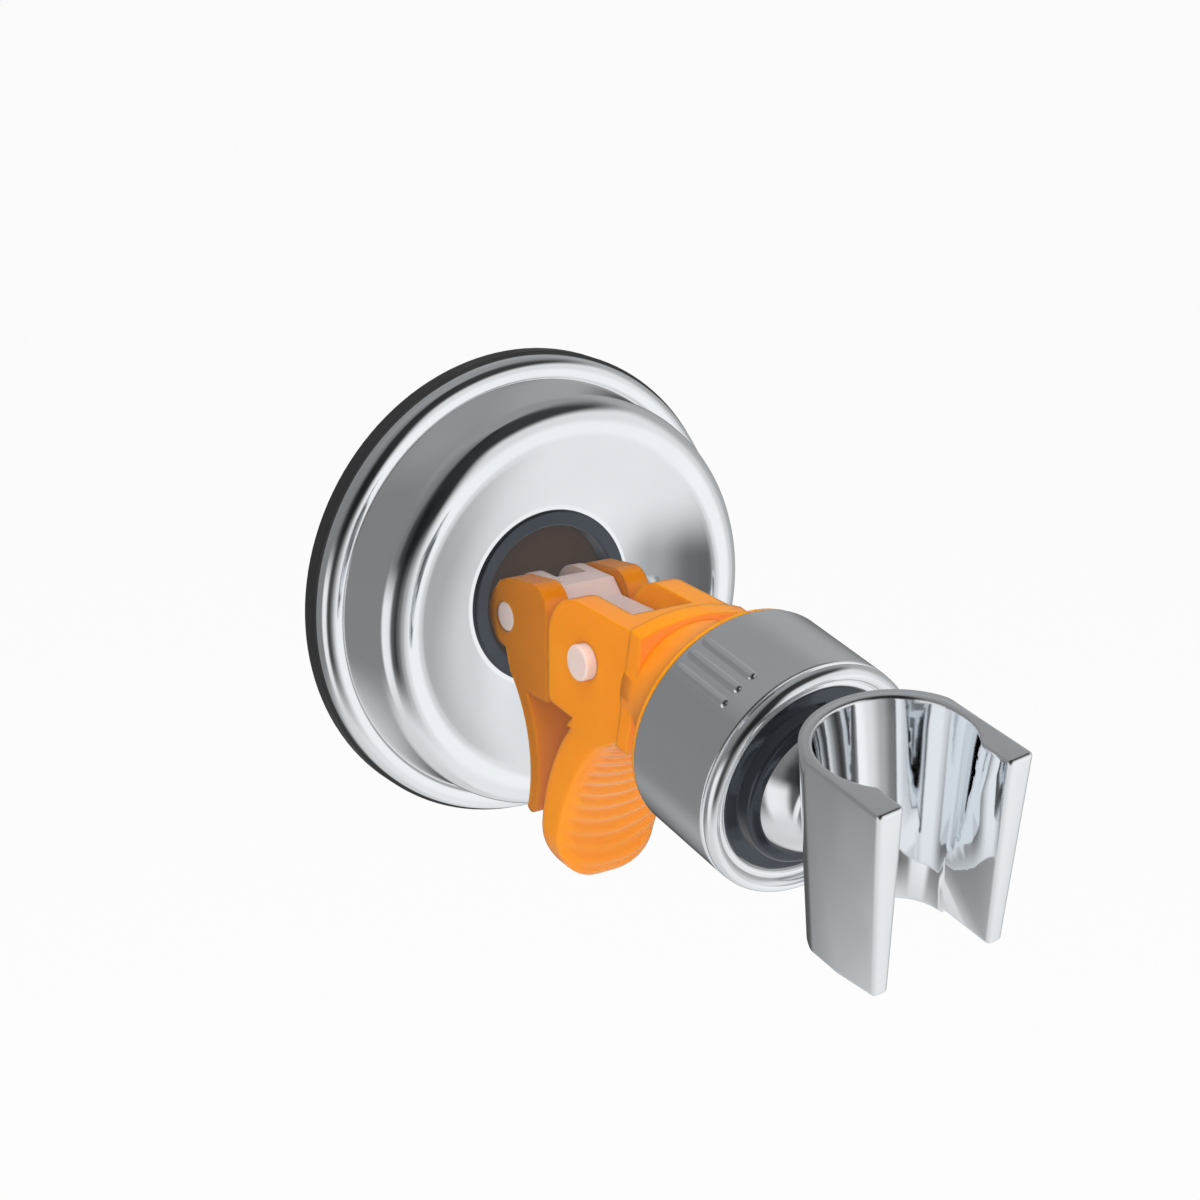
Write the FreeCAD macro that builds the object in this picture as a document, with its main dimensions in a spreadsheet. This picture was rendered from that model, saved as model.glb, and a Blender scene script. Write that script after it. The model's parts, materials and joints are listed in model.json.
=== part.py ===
"""Hand shower holder with a lever suction base, a folding arm and a ball-jointed clip.

Millimetres. The wall is the plane Y = 0, the holder stands out towards -Y, +Z is up and the
origin is the middle of the suction face. Lengths that are measured away from the wall are
called "out". The arm droops, so its pieces are drawn in a frame of their own at the front pin.
"""
import FreeCAD, Part
import math
import os
import Sketcher

doc = FreeCAD.newDocument("hand_shower_holder")
sheet = doc.addObject("Spreadsheet::Sheet", "Sizes")
X_DIRECTION = FreeCAD.Vector(1, 0, 0)


class Size:
    """A number that carries the formula tying it to the cells of the sheet."""

    def __init__(self, number, formula):
        self.number = number
        self.formula = formula

    def __add__(self, other):
        other = as_size(other)
        return Size(self.number + other.number, f"({self.formula} + {other.formula})")

    def __radd__(self, other):
        return as_size(other) + self

    def __sub__(self, other):
        other = as_size(other)
        return Size(self.number - other.number, f"({self.formula} - {other.formula})")

    def __rsub__(self, other):
        return as_size(other) - self

    def __mul__(self, other):
        other = as_size(other)
        return Size(self.number * other.number, f"({self.formula} * {other.formula})")

    def __rmul__(self, other):
        return as_size(other) * self

    def __truediv__(self, other):
        other = as_size(other)
        return Size(self.number / other.number, f"({self.formula} / {other.formula})")

    def __neg__(self):
        return Size(-self.number, f"(0 - {self.formula})")


def as_size(value):
    """The value itself, or a plain number as a size without a cell."""
    return value if isinstance(value, Size) else Size(float(value), repr(float(value)))


def root_of(size):
    return Size(math.sqrt(size.number), f"sqrt({size.formula})")


def sine_of(angle):
    return Size(math.sin(math.radians(angle.number)), f"sin({angle.formula} * 1 deg)")


def cosine_of(angle):
    return Size(math.cos(math.radians(angle.number)), f"cos({angle.formula} * 1 deg)")


cell_rows = iter(range(1, 400))


def cell(name, value, meaning):
    """Write one driving size into the sheet."""
    row = next(cell_rows)
    sheet.set(f"A{row}", name)
    sheet.set(f"B{row}", str(value))
    sheet.set(f"C{row}", meaning)
    sheet.setAlias(f"B{row}", name)
    return Size(float(value), f"Sizes.{name}")


# Clearances
running_gap = cell("running_gap", 0.05, "radial play of a pin that turns in its hole")
slip_gap = cell("slip_gap", 0.3, "play between faces that move past each other")
seat_gap = cell("seat_gap", 0.1, "play of a ring turning in its bore")
ball_gap = cell("ball_gap", 0.25, "play between the ball and its seats")

# Rubber cup and the foot moulded into it
cup_radius = cell("cup_radius", 41.9, "outer radius of the suction cup")
cup_edge = cell("cup_edge", 3.0, "thickness of the cup's edge")
cup_edge_width = cell("cup_edge_width", 3.4, "width of the thick edge")
cup_web = cell("cup_web", 2.2, "thickness of the cup inside its edge")
cup_step = cell("cup_step", 1.0, "slope from the thick edge down to the web")
boss_radius = cell("boss_radius", 12.0, "radius of the cup's central boss")
boss_height = cell("boss_height", 4.6, "height of the boss above the wall")
boss_draft = cell("boss_draft", 0.8, "how much the boss widens towards the web")
foot_radius = cell("foot_radius", 9.0, "radius of the foot plate in the boss")
foot_floor = cell("foot_floor", 1.4, "rubber under the foot plate")
foot_height = cell("foot_height", 2.2, "thickness of the foot plate")
foot_neck_radius = cell("foot_neck_radius", 5.4, "radius of the foot's neck")
foot_neck_height = cell("foot_neck_height", 1.6, "height of the foot's neck above its plate")

# Pull stud
shank_radius = cell("shank_radius", 2.6, "radius of the pull stud's shank")
head_radius = cell("head_radius", 3.8, "radius of the stud's head in the foot")
head_height = cell("head_height", 1.4, "thickness of the stud's head")
head_floor = cell("head_floor", 0.8, "foot plate under the stud's head")
eye_radius = cell("eye_radius", 4.3, "outer radius of the stud's eye")
eye_width = cell("eye_width", 5.4, "width of the stud's eye")
shank_overlap = cell("shank_overlap", 0.6, "how far the shank ends short of the rear pin")

# Backing plate
plate_inset = cell("plate_inset", 2.0, "how much smaller than the cover's flange the plate is")
plate_rim = cell("plate_rim", 1.1, "thickness of the plate's rim")
plate_floor = cell("plate_floor", 1.5, "thickness of the plate's floor under the swivel disc")
plate_hub_radius = cell("plate_hub_radius", 18.0, "radius of the plate's hub")
plate_hub_height = cell("plate_hub_height", 0.8, "height of the hub above its floor")
plate_hub_draft = cell("plate_hub_draft", 1.5, "how much the hub widens towards the plate")
plate_boss_gap = cell("plate_boss_gap", 1.2, "play between the plate and the cup's boss")
plate_boss_slope = cell("plate_boss_slope", 1.2, "how much the plate's recess widens to the rear")

# Chromed cover
flange_radius = cell("flange_radius", 41.3, "outer radius of the cover's rolled flange")
flange_land = cell("flange_land", 0.9, "straight land at the flange's edge")
flange_roll = cell("flange_roll", 2.4, "radius of the flange's rolled edge")
groove_depth = cell("groove_depth", 0.9, "depth of the groove between flange and side band")
groove_width = cell("groove_width", 1.9, "width of the groove")
groove_slope = cell("groove_slope", 0.7, "slope of the groove's outer side")
groove_corner = cell("groove_corner", 0.5, "bevel in the groove's inner corner")
band_draft = cell("band_draft", 0.5, "how much narrower the side band is at its top")
band_height = cell("band_height", 8.4, "height of the straight side band")
shoulder_radius = cell("shoulder_radius", 4.6, "radius of the cover's rounded shoulder")
crest_turn = cell("crest_turn", 38.0, "how far the shoulder turns past its top, degrees")
dish_depth = cell("dish_depth", 8.2, "depth of the dished face below its edge")
dish_curve = cell("dish_curve", 52.0, "radius of the dish's curve")
cover_wall = cell("cover_wall", 1.7, "wall of the cover")
crest_thicker = cell("crest_thicker", 0.3, "extra thickness behind the cover's crest")
cover_play = cell("cover_play", 0.4, "play between the cover and the plate's rim")
lip_width = cell("lip_width", 1.9, "flat lip round the cover's hole")
hub_wall = cell("hub_wall", 0.3, "how much the cover's hub is wider than its lip")
cover_soft = cell("cover_soft", 0.8, "softening of the cover's crest and lip")

# Throat ring and swivel disc
throat_radius = cell("throat_radius", 12.9, "inner radius of the dark ring in the hole")
throat_wall = cell("throat_wall", 1.5, "wall of the dark ring")
throat_flange = cell("throat_flange", 1.2, "how far the ring's flange laps over the lip")
throat_flange_height = cell("throat_flange_height", 0.8, "thickness of the ring's flange")
throat_soft = cell("throat_soft", 0.48, "radius of the flange's edges")
disc_height = cell("disc_height", 1.5, "thickness of the swivel disc")

# Rear lever, side view
lobe_radius = cell("lobe_radius", 5.5, "radius of the round lobes that bear on the disc")
pin_drop = cell("pin_drop", 1.1, "how far the rear pin lies below the base's axis")
rear_pin_radius = cell("rear_pin_radius", 2.6, "radius of the rear pin")
lever_width = cell("lever_width", 21.0, "width over the ears and over the tail")
lever_slot = cell("lever_slot", 11.8, "width of the slot between the ears")
lever_slot_floor = cell("lever_slot_floor", 6.2, "depth of the slot's floor below the rear pin")
ear_length = cell("ear_length", 13.2, "from the rear pin to the lever's front flat")
ear_top = cell("ear_top", 8.1, "height of the ears above the rear pin")
ear_crown = cell("ear_crown", 4.2, "radius of the ears' front top corner")
ear_brow = cell("ear_brow", 1.0, "where the ears' sloping top begins, ahead of the rear pin")
ear_brow_drop = cell("ear_brow_drop", 0.9, "how far the top's rear end lies below its front")
ear_back = cell("ear_back", 1.6, "top of the ears' rear slope, behind the rear pin")
ear_back_drop = cell("ear_back_drop", 1.9, "how far that point lies below the ears' top")
ear_bottom = cell("ear_bottom", 11.8, "depth of the ears below the rear pin")
lobe_turn = cell("lobe_turn", 55.0, "angle at which the round lobes end, degrees")
tail_length = cell("tail_length", 32.7, "depth of the tail's tip below the rear pin")
tail_tip_out = cell("tail_tip_out", 6.7, "how far the tail's tip stands ahead of the rear pin")
tail_thickness = cell("tail_thickness", 2.6, "thickness of the tail at its tip")
tail_tip_round = cell("tail_tip_round", 1.5, "radius of the tail's tip")
tail_rear_curve = cell("tail_rear_curve", 24.0, "radius of the tail's rear face")
tail_front_curve = cell("tail_front_curve", 25.3, "radius of the tail's front face")
tail_front_root = cell("tail_front_root", 6.6, "where the tail's front face meets the ears")
tail_rear_root = cell("tail_rear_root", 1.3, "where the tail's rear begins, ahead of the rear pin")
tail_rear_drop = cell("tail_rear_drop", 9.4, "where the tail's rear begins, below the rear pin")

# Link and front pin
front_pin_radius = cell("front_pin_radius", 3.05, "radius of the front pin")
front_pin_proud = cell("front_pin_proud", 1.9, "how far the front pin stands out of each cheek")
front_pin_drop = cell("front_pin_drop", 0.8, "how far the front pin lies below the rear one")
link_rear_radius = cell("link_rear_radius", 4.6, "outer radius of the link's rear fork")
link_front_radius = cell("link_front_radius", 5.2, "outer radius of the link's front eye")
link_knuckle = cell("link_knuckle", 7.0, "height of the link's knuckle above the rear pin")
link_side_gap = cell("link_side_gap", 0.3, "gap between the link and what is beside it")
link_crown = cell("link_crown", 5.4, "radius of the knuckle's rear corner")
link_step = cell("link_step", 9.6, "where the knuckle steps down, ahead of the rear pin")
link_slope = cell("link_slope", 2.6, "length of the slope below the knuckle's step")
link_round_from = cell("link_round_from", 2.8, "height above which the link's edges are rounded")
link_round = cell("link_round", 0.5, "rounding of the link's upper edges")
pin_soft = cell("pin_soft", 0.35, "rounding of the pins' ends")

# Arm, cheeks in side view, measured from the front pin
arm_droop = cell("arm_droop", 11.0, "slope of the arm below level, degrees")
axis_rise = cell("axis_rise", 1.17, "how far the arm's axis passes above the front pin")
cheek_rear = cell("cheek_rear", 11.7, "from the front pin to the cheeks' rear flat")
cheek_gap = cell("cheek_gap", 0.4, "gap between the cheeks and the rear lever's flat")
cheek_top = cell("cheek_top", 9.5, "height of the cheeks above the front pin")
cheek_crown = cell("cheek_crown", 8.7, "radius of the cheeks' rear top corner")
cheek_bottom = cell("cheek_bottom", 10.4, "depth of the cheeks below the front pin")
cheek_front = cell("cheek_front", 12.5, "from the front pin to where the flange begins")
cheek_fall = cell("cheek_fall", 0.8, "how much the cheeks' top falls towards the flange")
cheek_heel = cell("cheek_heel", 1.5, "radius of the cheeks' rear bottom corner")
cheek_belly = cell("cheek_belly", 0.7, "lowest point of the cheeks, behind the front pin")
cheek_belly_drop = cell("cheek_belly_drop", 1.3, "how far that point lies below the cheeks")
web_radius = cell("web_radius", 5.9, "radius of the round pocket between the cheeks")
web_place = cell("web_place", 5.9, "rear wall of the web, ahead of the front pin")
web_lean = cell("web_lean", 1.4, "how far the web leans forward at its top")
arm_width = cell("arm_width", 21.0, "width over the cheeks and the pad")
arm_slot = cell("arm_slot", 11.8, "width between the cheeks")

# Finger pad
pad_length = cell("pad_length", 44.1, "depth of the pad's tip below the front pin")
pad_toe_height = cell("pad_toe_height", 37.2, "where the pad's toe begins, below the front pin")
pad_tip_front = cell("pad_tip_front", -8.7, "front of the pad's toe, ahead of the front pin")
pad_tip_rear = cell("pad_tip_rear", -15.3, "rear of the pad's tip, ahead of the front pin")
pad_front_curve = cell("pad_front_curve", 37.0, "radius of the pad's hollow front")
pad_rear_curve = cell("pad_rear_curve", 33.9, "radius of the pad's rear")
pad_tip_round = cell("pad_tip_round", 2.8, "small radius of the pad's tip")
pad_tip_curve = cell("pad_tip_curve", 9.5, "large radius of the pad's tip")
pad_root = cell("pad_root", 2.0, "overlap of the pad with the cheeks")
pad_toe_slope = cell("pad_toe_slope", 0.9, "how far the toe slopes forward below its start")
pad_toe_end = cell("pad_toe_end", 2.6, "height of the toe's end above the pad's tip")
pad_tip_flat = cell("pad_tip_flat", 3.8, "from the pad's rear to its lowest point")
pad_heel = cell("pad_heel", 7.6, "height of the pad's rear end above its tip")
pad_corner = cell("pad_corner", 7.0, "radius of the pad's corners in front view")
rib_count = 8  # grip ribs on the pad
rib_pitch = cell("rib_pitch", 2.8, "spacing of the pad's ribs")
rib_width = cell("rib_width", 1.3, "width of a rib")
rib_height = cell("rib_height", 0.6, "height of a rib above the pad")
rib_curve = cell("rib_curve", 17.0, "radius of a rib's curve across the pad")
rib_margin = cell("rib_margin", 1.6, "bare border beside the ribs")
rib_first = cell("rib_first", 14.0, "lowest line of the first rib below the arm's axis")

# Neck and collar, measured along the arm from the front pin
flange_start = cell("flange_start", 11.3, "where the arm's flange begins")
flange_thickness = cell("flange_thickness", 3.2, "thickness of the flange")
flange_half = cell("flange_half", 10.9, "half the flange's width")
flange_side_height = cell("flange_side_height", 10.3, "height of the flange's corners over the axis")
flange_arch = cell("flange_arch", 28.6, "radius of the flange's arched top")
flare_radius = cell("flare_radius", 11.4, "radius of the flare where it leaves the flange")
flare_curve = cell("flare_curve", 17.0, "radius of the flare's hollow")
flare_lip = cell("flare_lip", 0.4, "how much narrower than the collar the flare ends")
flare_edge = cell("flare_edge", 0.6, "straight edge at the flare's end")
collar_start = cell("collar_start", 27.4, "rear edge of the collar")
collar_length = cell("collar_length", 18.3, "length of the collar")
collar_radius = cell("collar_radius", 19.6, "outer radius of the collar")
collar_wall = cell("collar_wall", 1.9, "wall of the collar")
collar_flange = cell("collar_flange", 1.9, "thickness of the collar's inner flange")
thread_crest = cell("thread_crest", 17.4, "radius of the neck's thread at its crests")
thread_root = cell("thread_root", 16.4, "radius of the neck between the crests")
thread_pitch = cell("thread_pitch", 3.0, "pitch of the thread, drawn as plain rings")
thread_start = cell("thread_start", 1.0, "from the collar's edge to the first ring")
thread_flank = cell("thread_flank", 0.7, "length of a thread ring's flank")
thread_land = cell("thread_land", 0.6, "width of a thread ring's crest")
thread_turns = 3  # rings of the thread
neck_length = cell("neck_length", 12.6, "length of the neck inside the collar")
socket_radius = cell("socket_radius", 13.3, "radius of the neck's bore")
socket_floor = cell("socket_floor", 4.8, "from the collar's rear edge to the bore's floor")
friction_height = cell("friction_height", 2.0, "thickness of the friction ring")
friction_bore = cell("friction_bore", 6.5, "inner radius of the friction ring")

# Rings in the collar's front
trim_height = cell("trim_height", 2.3, "how far the trim stands out of the collar")
trim_inner = cell("trim_inner", 16.0, "inner radius of the trim")
trim_bead = cell("trim_bead", 1.0, "width of the trim's inner bead")
trim_bead_round = cell("trim_bead_round", 0.6, "radius of the trim's inner bead")
ring_inner = cell("ring_inner", 13.35, "inner radius of the seat ring")
seat_depth = cell("seat_depth", 4.1, "depth of the seat ring behind the collar's front")
bush_shoulder = cell("bush_shoulder", 15.0, "radius of the bush's shoulder")
bush_split = cell("bush_split", 1.6, "width of the bush's split")
trim_curve = cell("trim_curve", 1.75, "radius of the trim's round front")
cup_hole = cell("cup_hole", 4.0, "radius of the hole in the ball's rear seat")
cup_proud = cell("cup_proud", 0.2, "how far the rear seat stands out of the neck")
bush_proud = cell("bush_proud", 3.3, "how far the bush stands out of the collar")
bush_soft = cell("bush_soft", 0.8, "radius of the bush's front edge")
ring_proud = cell("ring_proud", 0.6, "how far the seat ring stands out of the collar")
collar_rear_soft = cell("collar_rear_soft", 0.5, "radius of the collar's rear edge")
collar_front_soft = cell("collar_front_soft", 0.4, "radius of the collar's front edge")
trim_inset = cell("trim_inset", 0.1, "how much smaller than the collar the trim is")
trim_foot = cell("trim_foot", 0.5, "width and height of the groove under the trim")
trim_bead_height = cell("trim_bead_height", 0.8, "height of the trim's inner bead")
grip_groups = 3  # groups of ribs round the collar
grip_ribs = 3  # ribs in a group
grip_length = cell("grip_length", 12.4, "length of a grip rib")
grip_width = cell("grip_width", 1.5, "width of a grip rib")
grip_height = cell("grip_height", 0.45, "height of a grip rib")
grip_pitch = cell("grip_pitch", 8.6, "angle between ribs of a group, degrees")
grip_start = cell("grip_start", 1.4, "bare collar behind the ribs")
grip_place = cell("grip_place", 38.0, "angle of the first group from the top, degrees")

# Ball and clip, measured from the ball's centre
ball_radius = cell("ball_radius", 11.2, "radius of the ball")
ball_ahead = cell("ball_ahead", 0.47, "ball's centre ahead of the collar's front edge")
ball_end = cell("ball_end", 8.0, "where the ball ends and the neck begins")
clip_yaw = cell("clip_yaw", -2.95, "turn of the clip about the vertical, degrees")
clip_pitch = cell("clip_pitch", -8.71, "sideways tilt of the clip, degrees")
clip_roll = cell("clip_roll", 8.33, "forward tilt of the clip, degrees")
bore_out = cell("bore_out", 21.4, "from the ball's centre to the clip's axis")
clip_top = cell("clip_top", 18.0, "height of the clip above the ball's centre")
clip_height = cell("clip_height", 34.0, "height of the clip")
bore_top = cell("bore_top", 11.9, "radius of the tapered bore at its top")
bore_land = cell("bore_land", 8.4, "radius of the land at the bore's bottom")
land_height = cell("land_height", 4.0, "height of the land")
back_wall = cell("back_wall", 1.95, "wall behind the bore at the top")
foot_back_radius = cell("foot_back_radius", 13.1, "outer radius of the clip's back at its foot")
flank_start = cell("flank_start", 0.22, "where the round back ends, as a part of its radius")
jaw_reach = cell("jaw_reach", 13.9, "from the clip's axis to the jaws' ends at the top")
jaw_reach_low = cell("jaw_reach_low", 10.3, "the same at the foot")
jaw_half = cell("jaw_half", 13.6, "half the width over the jaws' ends at the top")
jaw_half_low = cell("jaw_half_low", 11.7, "the same at the foot")
mouth_half = cell("mouth_half", 9.1, "half the width of the clip's mouth")
jaw_round = cell("jaw_round", 0.8, "radius of the jaws' upright edges")
rim_round = cell("rim_round", 0.6, "radius of the clip's top and bottom edges")

# Places worked out from the sizes
foot_top = foot_floor + foot_height
plate_radius = flange_radius - plate_inset
neck_top = foot_top + foot_neck_height
floor_rear = boss_height + slip_gap
floor_out = floor_rear + plate_floor
hub_out = floor_out + plate_hub_height
disc_front = floor_out + disc_height
rear_pin_out = disc_front + seat_gap + lobe_radius
lever_front = rear_pin_out + ear_length
front_pin_out = lever_front + cheek_gap + cheek_rear
front_pin_height = -(pin_drop + front_pin_drop)
roll_out = cup_edge + flange_land + flange_roll
band_radius = flange_radius - flange_roll - groove_width
band_top_radius = band_radius - band_draft
band_top = roll_out + band_height
face_radius = band_top_radius - shoulder_radius
crest_radius = face_radius - shoulder_radius * sine_of(crest_turn)
crest_out = band_top + shoulder_radius * cosine_of(crest_turn)
face_out = band_top + shoulder_radius
hole_radius = throat_radius + throat_wall
lip_radius = hole_radius + lip_width
lip_out = face_out - dish_depth
seat_back = collar_start + collar_length - seat_depth
ball_place = collar_start + collar_length + ball_ahead
pad_front_root = cheek_front - pad_root
pad_end = (axis_rise + pad_length * cosine_of(arm_droop)
           - (pad_tip_rear + pad_tip_flat) * sine_of(arm_droop))
front_pin_length = arm_width + 2 * front_pin_proud


def bind(item, prop, size):
    """Give a property its number and tie it to the sheet."""
    item.setExpression(prop, as_size(size).formula)


def in_arm(along, rise):
    """World Y and Z of a point given along the arm and above its axis' foot at the front pin."""
    sine = sine_of(arm_droop)
    cosine = cosine_of(arm_droop)
    place_y = -front_pin_out - along * cosine - rise * sine
    place_z = front_pin_height - along * sine + rise * cosine
    return place_y, place_z


def place(item, y=0.0, z=0.0, droop=None):
    """Set a piece's place, and the slope of a piece that belongs to the drooping arm."""
    y = as_size(y)
    z = as_size(z)
    angle = droop.number if droop else 0.0
    item.Placement = FreeCAD.Placement(
        FreeCAD.Vector(0, y.number, z.number), FreeCAD.Rotation(X_DIRECTION, angle))
    bind(item, "Placement.Base.y", y)
    bind(item, "Placement.Base.z", z)
    if droop:
        bind(item, "Placement.Rotation.Angle", droop * Size(1.0, "1 deg"))
    return item


def new_body(label):
    body = doc.addObject("PartDesign::Body", label)
    body.Label = label
    return body


def plane_of(body, role):
    return next(item for item in body.Origin.OriginFeatures if item.Role == role)


def new_sketch(body, role, label, lift=0.0):
    """An empty sketch on one of its body's planes, lifted along its normal."""
    sketch = body.newObject("Sketcher::SketchObject", label)
    sketch.AttachmentSupport = [(plane_of(body, role), "")]
    sketch.MapMode = "FlatFace"
    bind(sketch, "AttachmentOffset.Base.z", lift)
    return sketch


def constrain(sketch, kind, *numbers_and_size):
    """Add a constraint whose last argument is a size, and tie it to the sheet."""
    *places, size = numbers_and_size
    index = sketch.addConstraint(Sketcher.Constraint(kind, *places, size.number))
    bind(sketch, f"Constraints[{index}]", size)


def arc_between(start, end, radius):
    """The short arc between two points; it bulges to the left of the way if radius > 0."""
    chord = end - start
    left = FreeCAD.Vector(-chord.y, chord.x, 0).normalize()
    side = 1.0 if radius > 0 else -1.0
    inset = math.sqrt(max(radius ** 2 - chord.Length ** 2 / 4, 0.0))
    centre = (start + end) / 2 - left * inset * side
    circle = Part.Circle(centre, FreeCAD.Vector(0, 0, 1), abs(radius))
    first, last = (end, start) if radius > 0 else (start, end)
    angles = [math.atan2(point.y - centre.y, point.x - centre.x) for point in (first, last)]
    if angles[1] < angles[0]:
        angles[1] += 2 * math.pi
    return Part.ArcOfCircle(circle, *angles)


def outline(sketch, corners):
    """A closed outline; a third entry in a corner makes the edge after it an arc of that radius."""
    corners = [[as_size(value) for value in corner] for corner in corners]
    points = [FreeCAD.Vector(corner[0].number, corner[1].number, 0) for corner in corners]
    ends = []
    for index, corner in enumerate(corners):
        start = points[index]
        end = points[(index + 1) % len(points)]
        if len(corner) == 3:
            radius = corner[2]
            edge = sketch.addGeometry(arc_between(start, end, radius.number), False)
            ends.append((edge, 2, 1) if radius.number > 0 else (edge, 1, 2))
        else:
            edge = sketch.addGeometry(Part.LineSegment(start, end), False)
            ends.append((edge, 1, 2))
    for index, (edge, start_end, far_end) in enumerate(ends):
        following = ends[(index + 1) % len(ends)]
        sketch.addConstraint(
            Sketcher.Constraint("Coincident", edge, far_end, following[0], following[1]))
    for (edge, start_end, _), corner in zip(ends, corners):
        constrain(sketch, "DistanceX", -1, 1, edge, start_end, corner[0])
        constrain(sketch, "DistanceY", -1, 1, edge, start_end, corner[1])
        if len(corner) == 3:
            length = corner[2] if corner[2].number > 0 else -corner[2]
            constrain(sketch, "Radius", edge, length)
    return sketch


def ring_outline(sketch, across, up, radius):
    """A circle at a given place."""
    across, up, radius = as_size(across), as_size(up), as_size(radius)
    centre = FreeCAD.Vector(across.number, up.number, 0)
    circle = Part.Circle(centre, FreeCAD.Vector(0, 0, 1), radius.number)
    edge = sketch.addGeometry(circle, False)
    constrain(sketch, "DistanceX", -1, 1, edge, 3, across)
    constrain(sketch, "DistanceY", -1, 1, edge, 3, up)
    constrain(sketch, "Radius", edge, radius)
    return sketch


def pad(body, sketch, length, symmetric=True, kind="Pad"):
    """Pad or pocket a sketch, to both sides of its plane unless told otherwise."""
    before = body.Shape.Volume if kind == "Pocket" else 0.0
    feature = body.newObject(f"PartDesign::{kind}", f"{sketch.Label}_{kind.lower()}")
    feature.Profile = sketch
    feature.SideType = "Symmetric" if symmetric else "One side"
    bind(feature, "Length", length)
    sketch.Visibility = False
    body.recompute(True)
    if kind == "Pocket" and body.Shape.Volume > before - 1e-3:
        raise RuntimeError(f"{sketch.Label} cuts nothing")
    return feature


def pocket(body, sketch, length=2 * flange_radius):
    return pad(body, sketch, length, kind="Pocket")


def turn(body, sketch, axis="V_Axis", kind="Revolution"):
    """Turn a profile once round an axis of its sketch."""
    before = body.Shape.Volume if kind == "Groove" else 0.0
    feature = body.newObject(f"PartDesign::{kind}", f"{sketch.Label}_{kind.lower()}")
    feature.Profile = sketch
    feature.ReferenceAxis = (sketch, [axis])
    feature.Angle = 360
    body.recompute(True)
    if kind == "Groove" and body.Shape.Volume > before - 1e-3:
        raise RuntimeError(f"{sketch.Label} cuts nothing")
    return feature


def round_edges(body, radius, chosen):
    """Fillet the edges of a body for which chosen(edge) is true."""
    base = body.Tip
    names = [f"Edge{number}" for number, edge in enumerate(base.Shape.Edges, 1) if chosen(edge)]
    feature = body.newObject("PartDesign::Fillet", f"{body.Label}_round")
    feature.Base = (base, names)
    bind(feature, "Radius", radius)
    body.recompute(True)
    return feature


def circle_at(radius, y, tolerance=0.02):
    """Chooses the round edges of a turned piece by their radius and place along its axis."""
    def chosen(edge):
        curve = getattr(edge, "Curve", None)
        return (curve.TypeId == "Part::GeomCircle" and abs(curve.Radius - radius.number) < tolerance
                and abs(edge.CenterOfMass.y - y.number) < tolerance)
    return chosen


def either(*choices):
    return lambda edge: any(choice(edge) for choice in choices)


def turned_piece(label, corners):
    """A piece turned round the base's axis, from a profile of (radius, out) corners."""
    body = new_body(label)
    profile = [[corner[0], -as_size(corner[1])] + [-radius for radius in corner[2:]]
               for corner in corners]
    sketch = outline(new_sketch(body, "XY_Plane", f"{label}_profile"), profile)
    turn(body, sketch)
    return body


def arm_piece(label, corners):
    """A piece turned round the arm's axis, from (radius, distance from the front pin) corners."""
    axis_y, axis_z = in_arm(as_size(0.0), axis_rise)
    return place(turned_piece(label, corners), axis_y, axis_z, arm_droop)


def pin(label, radius, length, y, z, end_round):
    """A plain pin along X with rounded ends."""
    body = new_body(label)
    sketch = ring_outline(new_sketch(body, "YZ_Plane", f"{label}_section"), 0, 0, radius)
    pad(body, sketch, length)
    half = length.number / 2
    round_edges(body, end_round, lambda edge: abs(abs(edge.CenterOfMass.x) - half) < 0.01)
    return place(body, y, z)


def suction_cup():
    """Rubber disc with a thick edge and a boss that holds the foot plate."""
    edge_inner = cup_radius - cup_edge_width
    return turned_piece("suction_cup", [
        (0, 0), (cup_radius, 0), (cup_radius, cup_edge), (edge_inner, cup_edge),
        (edge_inner - cup_step, cup_web), (boss_radius + boss_draft, cup_web), (boss_radius, boss_height),
        (foot_neck_radius, boss_height), (foot_neck_radius, foot_top), (foot_radius, foot_top),
        (foot_radius, foot_floor), (0, foot_floor)])


def foot_plate():
    """Stiff plate in the boss with a pocket that traps the stud's head."""
    head_top = foot_floor + head_floor + head_height + slip_gap
    pocket_radius = head_radius + slip_gap
    neck_bore = shank_radius + slip_gap
    return turned_piece("foot_plate", [
        (0, foot_floor), (foot_radius, foot_floor), (foot_radius, foot_top),
        (foot_neck_radius, foot_top), (foot_neck_radius, neck_top), (neck_bore, neck_top),
        (neck_bore, head_top), (pocket_radius, head_top),
        (pocket_radius, foot_floor + head_floor), (0, foot_floor + head_floor)])


def pull_stud():
    """Stud with a flat head in the foot and an eye on the rear pin."""
    head_rear = foot_floor + head_floor + slip_gap / 2
    head_front = head_rear + head_height
    body = turned_piece("pull_stud", [
        (0, head_rear), (head_radius, head_rear), (head_radius, head_front),
        (shank_radius, head_front), (shank_radius, rear_pin_out - rear_pin_radius - shank_overlap),
        (0, rear_pin_out - rear_pin_radius - shank_overlap)])
    eye = new_sketch(body, "YZ_Plane", "stud_eye")
    pad(body, ring_outline(eye, -rear_pin_out, -pin_drop, eye_radius), eye_width)
    hole = new_sketch(body, "YZ_Plane", "stud_eye_hole")
    pocket(body, ring_outline(hole, -rear_pin_out, -pin_drop, rear_pin_radius + running_gap))
    return body


def backing_plate():
    """Plate that presses the cup's edge on the wall and carries the cover and the disc."""
    rim_front = cup_edge + plate_rim
    recess = boss_radius + plate_boss_gap
    return turned_piece("backing_plate", [
        (plate_radius, cup_edge), (plate_radius, rim_front), (plate_hub_radius + plate_hub_draft, rim_front),
        (plate_hub_radius, hub_out), (hole_radius, hub_out), (hole_radius, floor_out),
        (foot_neck_radius + slip_gap, floor_out), (foot_neck_radius + slip_gap, floor_rear),
        (recess, floor_rear), (recess + plate_boss_slope, cup_edge)])


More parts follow.
